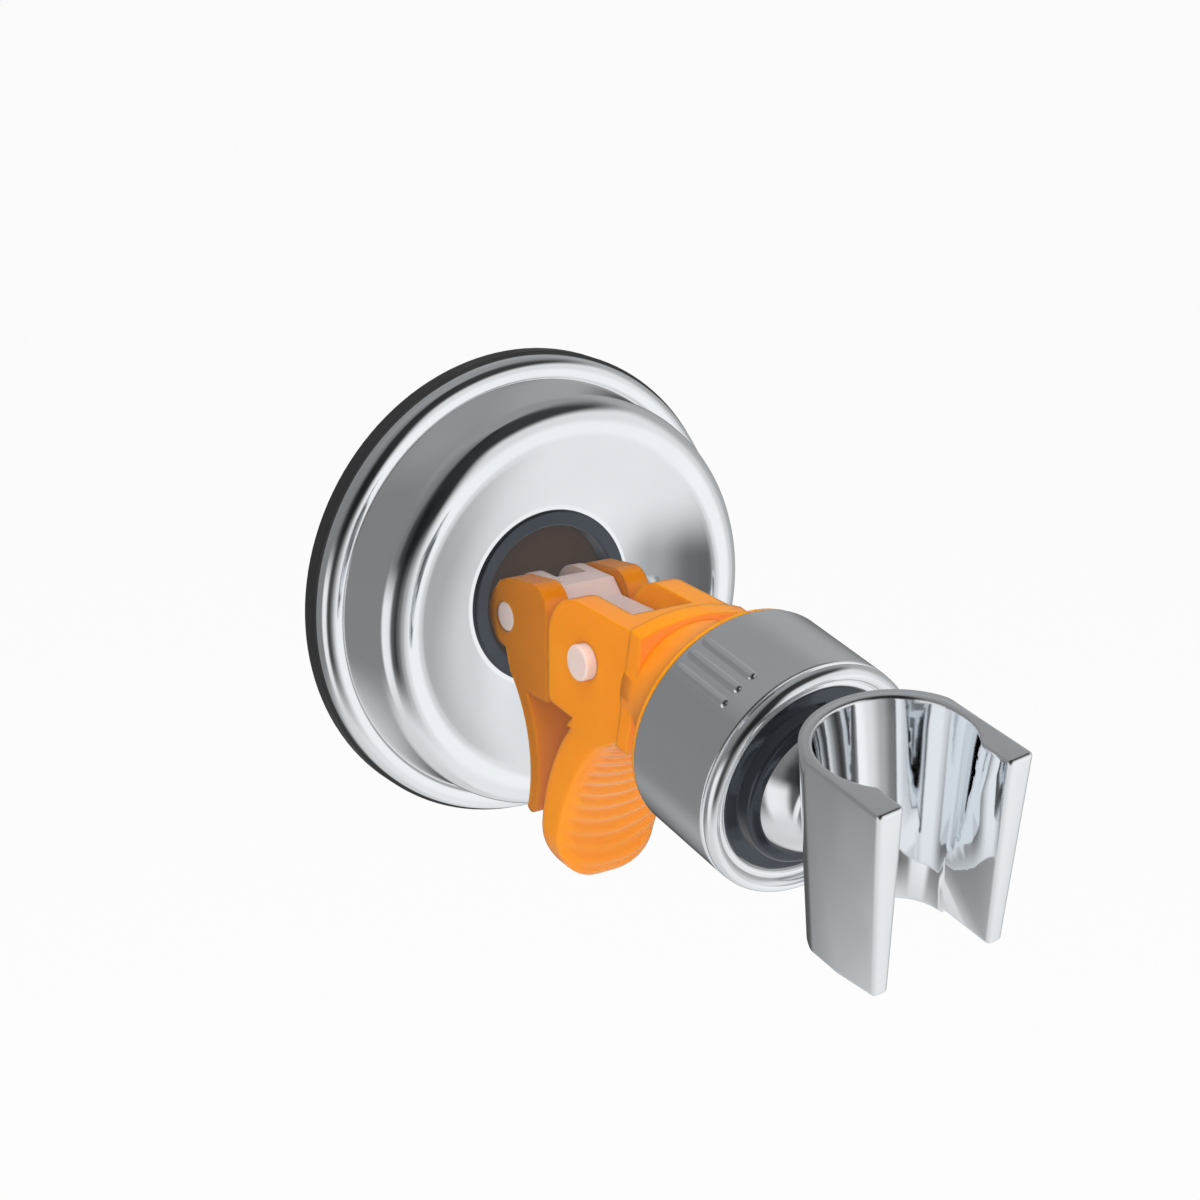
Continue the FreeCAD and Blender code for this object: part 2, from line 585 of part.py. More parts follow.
def base_cover():
    """Chromed shell: rolled flange, groove, side band, shoulder and dished face."""
    groove_out = roll_out - groove_depth
    inside = band_radius - cover_wall
    shoulder_inside = shoulder_radius - cover_wall
    hub_edge = lip_radius + hub_wall
    rim_front = cup_edge + plate_rim
    body = turned_piece("base_cover", [
        (flange_radius, cup_edge), (flange_radius, cup_edge + flange_land, -flange_roll),
        (flange_radius - flange_roll, roll_out), (flange_radius - flange_roll - groove_slope, roll_out),
        (band_radius + groove_corner, groove_out), (band_radius, roll_out + groove_corner),
        (band_top_radius, band_top, -shoulder_radius), (face_radius, face_out, -shoulder_radius),
        (crest_radius, crest_out, dish_curve),
        (lip_radius, lip_out), (hole_radius, lip_out), (hole_radius, hub_out),
        (hub_edge, hub_out), (hub_edge, lip_out - cover_wall, -dish_curve),
        (crest_radius, crest_out - cover_wall - crest_thicker),
        (face_radius, face_out - cover_wall, shoulder_inside),
        (band_top_radius - cover_wall, band_top),
        (inside, rim_front + cover_play), (plate_radius, rim_front + cover_play),
        (plate_radius, cup_edge)])
    round_edges(body, cover_soft, circle_at(lip_radius, -lip_out))
    return body


def throat_ring():
    """Dark ring that lines the hole and laps over its lip."""
    flange = hole_radius + throat_flange
    body = turned_piece("throat_ring", [
        (throat_radius, floor_out), (hole_radius, floor_out), (hole_radius, lip_out),
        (flange, lip_out), (flange, lip_out + throat_flange_height),
        (throat_radius, lip_out + throat_flange_height)])
    front = -(lip_out + throat_flange_height)
    round_edges(body, throat_soft, either(
        circle_at(throat_radius, front), circle_at(flange, front)))
    return body


def swivel_disc():
    """Disc at the bottom of the hole on which the lever's lobes bear."""
    return turned_piece("swivel_disc", [
        (shank_radius + slip_gap, floor_out), (throat_radius - seat_gap, floor_out),
        (throat_radius - seat_gap, disc_front), (shank_radius + slip_gap, disc_front)])


def side_outline(sketch, corners):
    """An outline in side view, from (out, height) corners."""
    return outline(sketch, [
        [-corner[0], corner[1]] + [-radius for radius in corner[2:]] for corner in corners])


def flat_edges_at(half_width, beyond=None):
    """Chooses the edges that lie in a piece's two flat sides."""
    def chosen(edge):
        box = edge.BoundBox
        on_side = box.XLength < 0.01 and abs(abs(box.XMin) - half_width.number) < 0.01
        return on_side and (beyond is None or beyond(edge))
    return chosen


def rear_lever():
    """Yoke with two ears, round lobes and a curved tail, drawn from the rear pin."""
    body = new_body("rear_lever")
    lobe_back = lobe_radius * cosine_of(lobe_turn)
    lobe_top = lobe_radius * sine_of(lobe_turn)
    profile = side_outline(new_sketch(body, "YZ_Plane", "lever_profile"), [
        (0, -lobe_radius, lobe_radius), (-lobe_radius, 0, lobe_radius), (-lobe_back, lobe_top),
        (-ear_back, ear_top - ear_back_drop), (ear_brow, ear_top - ear_brow_drop),
        (ear_length - ear_crown, ear_top, ear_crown),
        (ear_length, ear_top - ear_crown), (ear_length, -ear_bottom),
        (tail_front_root, -ear_bottom, tail_front_curve),
        (tail_tip_out + tail_thickness, -tail_length, tail_tip_round),
        (tail_tip_out, -tail_length, -tail_rear_curve), (tail_rear_root, -tail_rear_drop)])
    pad(body, profile, lever_width)
    slot = side_outline(new_sketch(body, "YZ_Plane", "lever_slot_sides"), [
        (-2 * lobe_radius, -lever_slot_floor), (-2 * lobe_radius, 2 * ear_top),
        (2 * ear_length, 2 * ear_top), (2 * ear_length, -lever_slot_floor)])
    pocket(body, slot, lever_slot)
    hole = new_sketch(body, "YZ_Plane", "lever_pin_hole")
    pocket(body, ring_outline(hole, 0, 0, rear_pin_radius + running_gap))
    return place(body, -rear_pin_out, -pin_drop)


def link():
    """Bar between the two pins, forked round the stud's eye."""
    body = new_body("link")
    reach = front_pin_out - rear_pin_out
    front_top = link_front_radius - front_pin_drop
    profile = side_outline(new_sketch(body, "YZ_Plane", "link_profile"), [
        (0, -link_rear_radius, link_rear_radius), (-link_rear_radius, 0),
        (-link_rear_radius, link_knuckle - link_crown, link_crown),
        (link_crown - link_rear_radius, link_knuckle), (link_step, link_knuckle),
        (link_step + link_slope, front_top), (reach, front_top, link_front_radius),
        (reach + link_front_radius, -front_pin_drop, link_front_radius),
        (reach, -(link_front_radius + front_pin_drop))])
    width = lever_slot - 2 * link_side_gap
    pad(body, profile, width)
    fork = side_outline(new_sketch(body, "YZ_Plane", "link_fork"), [
        (-2 * link_rear_radius, -2 * link_rear_radius), (-2 * link_rear_radius, 2 * link_knuckle),
        (eye_radius + slip_gap, 2 * link_knuckle), (eye_radius + slip_gap, -2 * link_rear_radius)])
    pocket(body, fork, eye_width + 2 * link_side_gap)
    rear_hole = new_sketch(body, "YZ_Plane", "link_rear_hole")
    pocket(body, ring_outline(rear_hole, 0, 0, rear_pin_radius + running_gap))
    front_hole = new_sketch(body, "YZ_Plane", "link_front_hole")
    pocket(body, ring_outline(
        front_hole, -reach, -front_pin_drop, front_pin_radius + running_gap))
    round_edges(body, link_round, flat_edges_at(
        width / 2, lambda edge: edge.BoundBox.ZMax > link_round_from.number))
    return place(body, -rear_pin_out, -pin_drop)


def level_sketch(body, label):
    """A side-view sketch from the front pin that stays level in the drooping arm."""
    sketch = new_sketch(body, "YZ_Plane", label)
    sketch.AttachmentOffset = FreeCAD.Placement(
        FreeCAD.Vector(0, -axis_rise.number, 0),
        FreeCAD.Rotation(FreeCAD.Vector(0, 0, -1), arm_droop.number))
    bind(sketch, "AttachmentOffset.Base.y", -axis_rise)
    bind(sketch, "AttachmentOffset.Rotation.Angle", arm_droop * Size(1.0, "1 deg"))
    return sketch


def arm_neck(body):
    """The flared end of the arm and the threaded neck, with the ball's bore."""
    thread_end = collar_start + neck_length
    flare_end = collar_start - slip_gap
    flare_rim = collar_radius - flare_lip
    corners = [
        (0, flange_start), (flare_radius, flange_start),
        (flare_radius, flange_start + flange_thickness, flare_curve),
        (flare_rim, flare_end - flare_edge), (flare_rim, flare_end), (thread_root, flare_end)]
    for ridge in range(thread_turns):
        start = collar_start + thread_start + thread_pitch * ridge
        crest = start + thread_flank
        corners += [
            (thread_root, start), (thread_crest, crest), (thread_crest, crest + thread_land),
            (thread_root, crest + thread_land + thread_flank)]
    corners += [
        (thread_root, thread_end), (socket_radius, thread_end),
        (socket_radius, collar_start + socket_floor), (0, collar_start + socket_floor)]
    sketch = new_sketch(body, "XY_Plane", "neck_profile")
    outline(sketch, [[corner[0], -corner[1]] + [-radius for radius in corner[2:]]
                     for corner in corners])
    turn(body, sketch)


def corner_cut(side):
    """What is cut off one lower corner of the finger pad, in view along the arm."""
    half = arm_width / 2
    return [
        (half * side + side, -(pad_end + 1)), (half * side + side, pad_corner - pad_end),
        (half * side, pad_corner - pad_end, pad_corner * side),
        ((half - pad_corner) * side, -pad_end), ((half - pad_corner) * side, -(pad_end + 1))]


def pad_ribs():
    """Curved grip ribs: upright bands, kept where they lie in a skin on the pad's hollow front."""
    skin = new_body("pad_skin")
    front_curve = pad_front_curve - rib_height
    lower_out = pad_tip_front + rib_height
    sides = side_outline(level_sketch(skin, "pad_skin_sides"), [
        (pad_front_root - pad_root, -cheek_bottom),
        (pad_front_root + rib_height, -cheek_bottom, -front_curve),
        (lower_out, -pad_toe_height),
        (pad_tip_front - pad_root, -pad_toe_height, pad_front_curve)])
    pad(skin, sides, arm_width - 2 * rib_margin)
    bands = new_body("pad_bands")
    sketch = new_sketch(bands, "XZ_Plane", "pad_bands_front")
    half = arm_width / 2 - rib_margin
    inner = rib_curve
    outer = rib_curve + rib_width
    for rib in range(rib_count):
        level = rib_curve - rib_first - rib_pitch * rib
        rise_inner = root_of(inner * inner - half * half)
        rise_outer = root_of(outer * outer - half * half)
        outline(sketch, [
            (-half, level - rise_inner, -inner), (0, level - inner, -inner),
            (half, level - rise_inner), (half, level - rise_outer, outer),
            (0, level - outer, outer), (-half, level - rise_outer)])
    pad(bands, sketch, 2 * pad_length)
    ribs = doc.addObject("Part::MultiCommon", "pad_ribs")
    ribs.Shapes = [skin, bands]
    return ribs


def arm_moulding():
    """Two cheeks, the finger pad, the flange and the neck, one moulding without its ribs."""
    body = new_body("arm_moulding")
    cheeks = side_outline(level_sketch(body, "cheeks"), [
        (cheek_heel - cheek_rear, -cheek_bottom, cheek_heel),
        (-cheek_rear, cheek_heel - cheek_bottom),
        (-cheek_rear, cheek_top - cheek_crown, cheek_crown),
        (cheek_crown - cheek_rear, cheek_top), (cheek_front, cheek_top - cheek_fall),
        (cheek_front, -cheek_bottom), (-cheek_belly, -(cheek_bottom + cheek_belly_drop))])
    pad(body, cheeks, arm_width)
    finger_pad = side_outline(level_sketch(body, "finger_pad"), [
        (-cheek_belly, pad_root - cheek_bottom), (pad_front_root, pad_root - cheek_bottom),
        (pad_front_root, -cheek_bottom, -pad_front_curve), (pad_tip_front, -pad_toe_height),
        (pad_tip_front + pad_toe_slope, pad_toe_end - pad_length, pad_tip_round),
        (pad_tip_rear + pad_tip_flat, -pad_length, pad_tip_curve),
        (pad_tip_rear, pad_heel - pad_length, pad_rear_curve)])
    pad(body, finger_pad, arm_width)
    pad_corners = new_sketch(body, "XZ_Plane", "pad_corners")
    outline(pad_corners, corner_cut(1))
    outline(pad_corners, corner_cut(-1))
    pocket(body, pad_corners, 2 * pad_length)
    flange = new_sketch(body, "XZ_Plane", "flange", lift=flange_start)
    outline(flange, [
        (-flange_half, -flange_half), (flange_half, -flange_half),
        (flange_half, flange_side_height, -flange_arch), (-flange_half, flange_side_height)])
    pad(body, flange, flange_thickness, symmetric=False)
    arm_neck(body)
    slot = side_outline(level_sketch(body, "cheek_slot"), [
        (-2 * cheek_rear, -web_radius), (-2 * cheek_rear, 2 * cheek_top),
        (web_place + web_lean, 2 * cheek_top), (web_place, 0, web_radius), (0, -web_radius)])
    pocket(body, slot, arm_slot)
    hole = new_sketch(body, "YZ_Plane", "arm_pin_hole")
    pocket(body, ring_outline(hole, 0, -axis_rise, front_pin_radius + running_gap))
    return body


def arm_body():
    """The arm's moulding with the ribs of its finger pad, placed along the drooping axis."""
    arm = doc.addObject("Part::MultiFuse", "arm_body")
    arm.Label = "arm_body"
    arm.Shapes = [arm_moulding(), pad_ribs()]
    axis_y, axis_z = in_arm(as_size(0.0), axis_rise)
    return place(arm, axis_y, axis_z, arm_droop)


def friction_ring():
    """Rubber ring behind the ball's rear seat."""
    floor = collar_start + socket_floor
    front = floor + friction_height
    outer = socket_radius - seat_gap
    return arm_piece("friction_ring", [
        (friction_bore, floor), (outer, floor), (outer, front), (friction_bore, front)])


def ball_cup():
    """Rear seat of the ball, which turns in the neck's bore."""
    seat = ball_radius + ball_gap
    back = collar_start + socket_floor + friction_height + running_gap
    front = collar_start + neck_length + cup_proud
    inner_out = ball_place - root_of(seat * seat - cup_hole * cup_hole)
    front_radius = root_of(seat * seat - (ball_place - front) * (ball_place - front))
    outer = socket_radius - seat_gap
    return arm_piece("ball_cup", [
        (cup_hole, back), (outer, back), (outer, front), (front_radius, front, seat),
        (cup_hole, inner_out)])


def ball_bush():
    """Split ring that holds the ball from the front."""
    seat = ball_radius + ball_gap
    back = collar_start + neck_length + slip_gap
    front = collar_start + collar_length + bush_proud
    outer = ring_inner - seat_gap
    back_radius = root_of(seat * seat - (ball_place - back) * (ball_place - back))
    front_radius = root_of(seat * seat - (front - ball_place) * (front - ball_place))
    body = arm_piece("ball_bush", [
        (back_radius, back), (bush_shoulder, back), (bush_shoulder, seat_back - slip_gap),
        (outer, seat_back - slip_gap), (outer, front - bush_soft, -bush_soft), (outer - bush_soft, front),
        (front_radius, front, seat)])
    split = new_sketch(body, "XZ_Plane", "bush_split")
    outline(split, [(-bush_split / 2, 0), (bush_split / 2, 0), (bush_split / 2, 2 * bush_shoulder),
                    (-bush_split / 2, 2 * bush_shoulder)])
    pocket(body, split, 4 * ball_place)
    return body


def seat_ring():
    """Dark ring in the collar's front, held by the collar's inner flange."""
    shoulder = collar_radius - collar_wall - slip_gap
    flange_back = collar_start + collar_length - collar_flange
    front = collar_start + collar_length + ring_proud
    outer = trim_inner - slip_gap
    return arm_piece("seat_ring", [
        (ring_inner, seat_back), (shoulder, seat_back), (shoulder, flange_back),
        (outer, flange_back), (outer, front), (ring_inner, front)])


def collar_nut():
    """Chromed collar that screws on the neck, with groups of raised grip ribs."""
    inner = collar_radius - collar_wall
    front = collar_start + collar_length
    body = arm_piece("collar_nut", [
        (inner, collar_start), (collar_radius - collar_rear_soft, collar_start, -collar_rear_soft),
        (collar_radius, collar_start + collar_rear_soft),
        (collar_radius, front - collar_front_soft, -collar_front_soft),
        (collar_radius - collar_front_soft, front), (trim_inner, front), (trim_inner, front - collar_flange),
        (inner, front - collar_flange)])
    for group in range(grip_groups):
        for rib in range(grip_ribs):
            angle = grip_place + Size(360.0 / grip_groups, repr(360.0 / grip_groups)) * group
            angle = angle + grip_pitch * (rib - (grip_ribs - 1) / 2)
            add_grip(body, angle, f"grip_{group}_{rib}")
    return body


def add_grip(body, angle, label):
    """One raised rib on the collar, with a round front end, padded out of the collar's wall."""
    start = collar_radius - collar_wall / 2
    sketch = body.newObject("Sketcher::SketchObject", label)
    sketch.AttachmentSupport = [(plane_of(body, "XY_Plane"), "")]
    sketch.MapMode = "FlatFace"
    sketch.AttachmentOffset = FreeCAD.Placement(
        FreeCAD.Vector(0, 0, 0), FreeCAD.Rotation(FreeCAD.Vector(0, 1, 0), angle.number))
    bind(sketch, "AttachmentOffset.Rotation.Angle", angle * Size(1.0, "1 deg"))
    bind(sketch, "AttachmentOffset.Base.x", start * sine_of(angle))
    bind(sketch, "AttachmentOffset.Base.z", start * cosine_of(angle))
    half = grip_width / 2
    rear = -(collar_start + grip_start)
    front = -(collar_start + grip_start + grip_length - half)
    outline(sketch, [
        (-half, rear), (-half, front, -half), (0, front - half, -half), (half, front),
        (half, rear)])
    feature = body.newObject("PartDesign::Pad", f"{label}_pad")
    feature.Profile = sketch
    bind(feature, "Length", collar_wall / 2 + grip_height)
    sketch.Visibility = False
    body.recompute(True)
    return feature


def collar_trim():
    """Rounded ring and inner bead on the collar's front."""
    front = collar_start + collar_length
    outer = collar_radius - trim_inset
    foot = outer - trim_foot
    bead = trim_inner + trim_bead
    bead_front = front + trim_bead_height
    return arm_piece("collar_trim", [
        (trim_inner, front), (foot, front), (foot, front + trim_foot),
        (outer, front + trim_foot, -trim_curve),
        ((outer + bead) / 2, front + trim_height, -trim_curve), (bead + trim_inset, bead_front),
        (bead, bead_front, -trim_bead_round), (trim_inner, bead_front)])


def clip_section(body, label, height, half_width, reach, back):
    """Plan of the clip's outside at one height: round back and two nearly straight sides."""
    sketch = new_sketch(body, "XY_Plane", label, lift=height)
    side = back * flank_start
    flank = root_of(back * back - side * side)
    outline(sketch, [
        (-half_width, -(bore_out + reach)), (half_width, -(bore_out + reach)),
        (flank, -(bore_out + side)), (flank, side - bore_out, -back), (0, back - bore_out, -back),
        (-flank, side - bore_out), (-flank, -(bore_out + side))])
    return sketch


def clip_rims(bottom):
    """Chooses the edges of the clip's top and bottom faces, without the top's outer back arc."""
    behind_bore = -(bore_out - bore_top - 1)

    def chosen(edge):
        box = edge.BoundBox
        on_top = box.ZMin > clip_top.number - 0.1 and box.YMax < behind_bore.number
        on_foot = box.ZMax < bottom.number + 0.1 and box.YMin < -bore_out.number
        return on_top or on_foot
    return chosen


def holder_clip():
    """Ball, neck and tapered clip in one moulding, drawn from the ball's centre."""
    body = new_body("holder_clip")
    bottom = clip_top - clip_height
    lower = clip_section(body, "clip_foot", bottom, jaw_half_low, jaw_reach_low, foot_back_radius)
    upper = clip_section(body, "clip_rim", clip_top, jaw_half, jaw_reach, bore_top + back_wall)
    loft = body.newObject("PartDesign::AdditiveLoft", "clip_outside")
    loft.Profile = lower
    loft.Sections = [upper]
    loft.Ruled = True
    doc.recompute()
    ball = new_sketch(body, "XY_Plane", "ball_half")
    neck_radius = root_of(ball_radius * ball_radius - ball_end * ball_end)
    outline(ball, [(0, -bore_out), (neck_radius, -bore_out), (neck_radius, -ball_end, -ball_radius),
                   (ball_radius, 0, -ball_radius), (0, ball_radius)])
    turn(body, ball)
    bore = new_sketch(body, "XZ_Plane", "bore_profile", lift=bore_out)
    outline(bore, [
        (0, bottom - 1), (bore_land, bottom - 1), (bore_land, bottom + land_height),
        (bore_top, clip_top), (bore_top, clip_top + 1), (0, clip_top + 1)])
    turn(body, bore, kind="Groove")
    mouth = new_sketch(body, "XY_Plane", "mouth")
    outline(mouth, [(-mouth_half, -bore_out), (mouth_half, -bore_out),
                    (mouth_half, -(bore_out + 2 * jaw_reach)),
                    (-mouth_half, -(bore_out + 2 * jaw_reach))])
    pocket(body, mouth, 4 * clip_height)
    jaw_line = -(bore_out + jaw_reach_low - 1)
    round_edges(body, jaw_round, lambda edge: (
        edge.BoundBox.YMax < jaw_line.number and edge.BoundBox.ZLength > clip_height.number / 2))
    round_edges(body, rim_round, clip_rims(bottom))
    y, z = in_arm(ball_place, axis_rise)
    body.Placement = FreeCAD.Placement(
        FreeCAD.Vector(0, y.number, z.number),
        FreeCAD.Rotation(clip_yaw.number, clip_pitch.number, clip_roll.number))
    body.setExpression("Placement", (
        f"create(<<placement>>; create(<<vector>>; 0; {y.formula}; {z.formula}); "
        f"create(<<rotation>>; {clip_yaw.formula}; {clip_pitch.formula}; {clip_roll.formula}))"))
    return body


def check_and_export(pieces):
    """Every piece must be a valid solid without errors; then each goes to its own file."""
    os.makedirs("parts", exist_ok=True)
    doc.recompute()
    for item in doc.Objects:
        if "Invalid" in item.State or "Error" in item.State:
            raise RuntimeError(f"{item.Label} is in error: {item.State}")
    for piece in pieces:
        if piece.Shape.isNull() or not piece.Shape.isValid() or not piece.Shape.Solids:
            raise RuntimeError(f"{piece.Label} is not a valid solid")
        piece.Shape.exportStep(f"parts/{piece.Label}.step")
        box = piece.Shape.BoundBox
        print(f"{piece.Label}: {len(piece.Shape.Solids)} solid, {piece.Shape.Volume:.0f} mm3, "
              f"Y {box.YMin:.1f}..{box.YMax:.1f}, Z {box.ZMin:.1f}..{box.ZMax:.1f}")


sheet.recompute()
check_and_export([
    suction_cup(), foot_plate(), pull_stud(), backing_plate(), base_cover(), throat_ring(),
    swivel_disc(), rear_lever(),
    pin("rear_pin", rear_pin_radius, lever_width, -rear_pin_out, -pin_drop, pin_soft),
    link(), pin("front_pin", front_pin_radius, front_pin_length, -front_pin_out,
                front_pin_height, pin_soft),
    arm_body(), friction_ring(), ball_cup(), ball_bush(), seat_ring(), collar_nut(),
    collar_trim(), holder_clip()])
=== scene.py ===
"""Looks of the hand shower holder: chrome, clear orange plastic, white pins and black rubber.

Metres, in the part's own frame: the wall is Y = 0, the holder stands out towards -Y, +Z is up.
"""
import bmesh
import bpy
import json
import math
from mathutils import Matrix, Vector

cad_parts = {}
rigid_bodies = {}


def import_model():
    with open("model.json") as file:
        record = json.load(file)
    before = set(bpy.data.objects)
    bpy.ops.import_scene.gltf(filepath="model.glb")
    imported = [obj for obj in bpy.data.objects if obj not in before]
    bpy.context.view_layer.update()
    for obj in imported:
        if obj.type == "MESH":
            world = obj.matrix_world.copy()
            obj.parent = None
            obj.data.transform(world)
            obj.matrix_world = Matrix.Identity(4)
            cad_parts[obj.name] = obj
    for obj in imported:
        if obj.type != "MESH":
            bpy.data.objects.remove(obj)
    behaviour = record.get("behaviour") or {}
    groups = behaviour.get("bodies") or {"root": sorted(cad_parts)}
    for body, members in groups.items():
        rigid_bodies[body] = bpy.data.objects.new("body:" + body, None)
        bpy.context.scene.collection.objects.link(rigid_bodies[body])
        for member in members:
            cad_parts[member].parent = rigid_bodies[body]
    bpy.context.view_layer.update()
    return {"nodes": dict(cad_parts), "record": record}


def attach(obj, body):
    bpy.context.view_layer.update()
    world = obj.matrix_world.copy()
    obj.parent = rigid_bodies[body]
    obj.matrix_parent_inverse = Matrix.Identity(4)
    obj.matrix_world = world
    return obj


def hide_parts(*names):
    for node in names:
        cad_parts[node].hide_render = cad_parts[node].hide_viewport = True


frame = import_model()
MM = 0.001


# Materials

# Most of a noise's values lie between these two
NOISE_LOW, NOISE_HIGH = 0.3, 0.7


def new_material(name):
    """An empty material with its Principled shader."""
    material = bpy.data.materials.new(name)
    material.use_nodes = True
    return material, material.node_tree.nodes["Principled BSDF"]


def add_node(material, kind, **inputs):
    """A shader node with some of its inputs set; a space in an input's name is written as _."""
    node = material.node_tree.nodes.new(kind)
    for name, value in inputs.items():
        node.inputs[name.replace("_", " ")].default_value = value
    return node


def noise(material, scale, detail=3.0, stretch=(1, 1, 1)):
    """Noise in object coordinates, stretched along the axes if asked."""
    where = add_node(material, "ShaderNodeTexCoord")
    mapping = add_node(material, "ShaderNodeMapping", Scale=stretch)
    texture = add_node(material, "ShaderNodeTexNoise", Scale=scale, Detail=detail)
    links = material.node_tree.links
    links.new(where.outputs["Object"], mapping.inputs["Vector"])
    links.new(mapping.outputs["Vector"], texture.inputs["Vector"])
    return texture.outputs["Fac"]


def spread(material, source, low, high):
    """Map a noise to a range of values."""
    node = add_node(material, "ShaderNodeMapRange")
    node.inputs["From Min"].default_value = NOISE_LOW
    node.inputs["From Max"].default_value = NOISE_HIGH
    node.inputs["To Min"].default_value = low
    node.inputs["To Max"].default_value = high
    material.node_tree.links.new(source, node.inputs["Value"])
    return node.outputs["Result"]


def tint(material, shader, source, low, high):
    """Vary the base colour a little between two colours."""
    node = add_node(material, "ShaderNodeMix")
    node.data_type = "RGBA"
    colours = [item for item in node.inputs if item.type == "RGBA"]
    colours[0].default_value = (*low, 1)
    colours[1].default_value = (*high, 1)
    links = material.node_tree.links
    links.new(spread(material, source, 0.0, 1.0), node.inputs["Factor"])
    result = next(item for item in node.outputs if item.type == "RGBA")
    links.new(result, shader.inputs["Base Color"])


def relief(material, shader, source, distance, soft_edge=0.0):
    """Fine relief, and edges softened in the shading by a small radius."""
    node = add_node(material, "ShaderNodeBump", Distance=distance, Strength=1.0)
    links = material.node_tree.links
    links.new(source, node.inputs["Height"])
    if soft_edge:
        edge = add_node(material, "ShaderNodeBevel", Radius=soft_edge)
        edge.samples = 6
        links.new(edge.outputs["Normal"], node.inputs["Normal"])
    links.new(node.outputs["Normal"], shader.inputs["Normal"])


def chrome():
    """Bright plated metal with a little haze."""
    material, shader = new_material("chrome_plate")
    shader.inputs["Metallic"].default_value = 1.0
    tint(material, shader, noise(material, 35), (0.84, 0.86, 0.88), (0.88, 0.90, 0.92))
    links = material.node_tree.links
    links.new(spread(material, noise(material, 60, 5), 0.03, 0.07), shader.inputs["Roughness"])
    relief(material, shader, noise(material, 120, 2), 0.000012, 0.0004)
    return material


def plastic(name, low, high, rough, metal=0.0, glow=0.0, soft_edge=0.0005, grain=0.00002):
    """Moulded plastic: slightly uneven colour and gloss, with soft edges."""
    material, shader = new_material(name)
    tint(material, shader, noise(material, 45), low, high)
    links = material.node_tree.links
    links.new(spread(material, noise(material, 90, 4), rough * 0.8, rough * 1.25),
              shader.inputs["Roughness"])
    shader.inputs["IOR"].default_value = 1.5
    shader.inputs["Metallic"].default_value = metal
    if glow:
        shader.inputs["Subsurface Weight"].default_value = glow
        shader.inputs["Subsurface Radius"].default_value = (1.0, 0.45, 0.15)
        shader.inputs["Subsurface Scale"].default_value = 0.004
    relief(material, shader, noise(material, 400, 2), grain, soft_edge)
    return material


ORANGE_EDGE = 0.9 * MM
LOOKS = {
    "chrome": chrome(),
    "clear_orange": plastic("clear_orange", (0.97, 0.29, 0.003), (1.0, 0.335, 0.006), 0.2, glow=0.35,
                            soft_edge=ORANGE_EDGE),
    "deep_orange": plastic("deep_orange", (0.58, 0.175, 0.004), (0.64, 0.21, 0.006), 0.2, glow=0.25,
                           soft_edge=ORANGE_EDGE),
    "white_plastic": plastic("white_plastic", (0.80, 0.62, 0.56), (0.85, 0.68, 0.63), 0.3, glow=0.4),
    "black_rubber": plastic("black_rubber", (0.012, 0.012, 0.013), (0.02, 0.02, 0.021), 0.5,
                            grain=0.00004),
    "dark_plastic": plastic("dark_plastic", (0.05, 0.058, 0.07), (0.07, 0.08, 0.095), 0.1, metal=0.8),
    "grey_plastic": plastic("grey_plastic", (0.10, 0.10, 0.11), (0.12, 0.12, 0.13), 0.45),
    "stud_steel": chrome(),
    # The link is the white plastic darkened to a greyish pink: painted shade
    "link_plastic_painted_shade": plastic("link_plastic_painted_shade", (0.56, 0.43, 0.40), (0.62, 0.48, 0.45), 0.3, glow=0.3),
    # The swivel disc is near-black brown: painted shade
    "disc_painted_shade": plastic("disc_painted_shade", (0.05, 0.025, 0.015), (0.07, 0.035, 0.02), 0.15),
}
SLOT_OF = {item["node"]: item["material_slot"] for item in frame["record"]["subparts"]}
BODY_OF = {node: body for body, nodes in frame["record"]["behaviour"]["bodies"].items()
           for node in nodes}


def dress(obj, slot_name):
    """Give an object its look, on the object's own slot where the mesh is the frame's."""
    if not obj.material_slots:
        obj.data.materials.append(None)
    for item in obj.material_slots:
        item.link = "OBJECT"
        item.material = LOOKS[slot_name]


# Turned pieces, drawn finer than the frame's facets


def arc(start, end, radius, steps=10):
    """Points of a short arc; it bulges to the left of the way if radius > 0."""
    (x0, y0), (x1, y1) = start, end
    length = math.hypot(x1 - x0, y1 - y0)
    left = (-(y1 - y0) / length, (x1 - x0) / length)
    side = 1 if radius > 0 else -1
    inset = math.sqrt(max(radius * radius - length * length / 4, 0.0))
    cx = (x0 + x1) / 2 - left[0] * inset * side
    cy = (y0 + y1) / 2 - left[1] * inset * side
    first = math.atan2(y0 - cy, x0 - cx)
    last = math.atan2(y1 - cy, x1 - cx)
    turn = (last - first + math.pi) % (2 * math.pi) - math.pi
    return [(cx + abs(radius) * math.cos(first + turn * i / steps),
             cy + abs(radius) * math.sin(first + turn * i / steps)) for i in range(1, steps)]


def profile_points(corners):
    """Turn (radius, out[, arc]) corners into a closed run of points."""
    points = []
    for index, corner in enumerate(corners):
        following = corners[(index + 1) % len(corners)]
        points.append(corner[:2])
        if len(corner) == 3:
            points += arc(corner[:2], following[:2], corner[2])
    return points


def turned_mesh(corners, segments):
    """Vertices and faces of a profile turned round the -Y axis."""
    points = profile_points(corners)
    count = len(points)
    vertices = []
    faces = []
    for step in range(segments):
        angle = 2 * math.pi * step / segments
        for radius, out in points:
            vertices.append((radius * math.cos(angle) * MM, -out * MM, radius * math.sin(angle) * MM))
        here = step * count
        there = ((step + 1) % segments) * count
        for index in range(count):
            following = (index + 1) % count
            faces.append((here + index, here + following, there + following, there + index))
    return vertices, faces


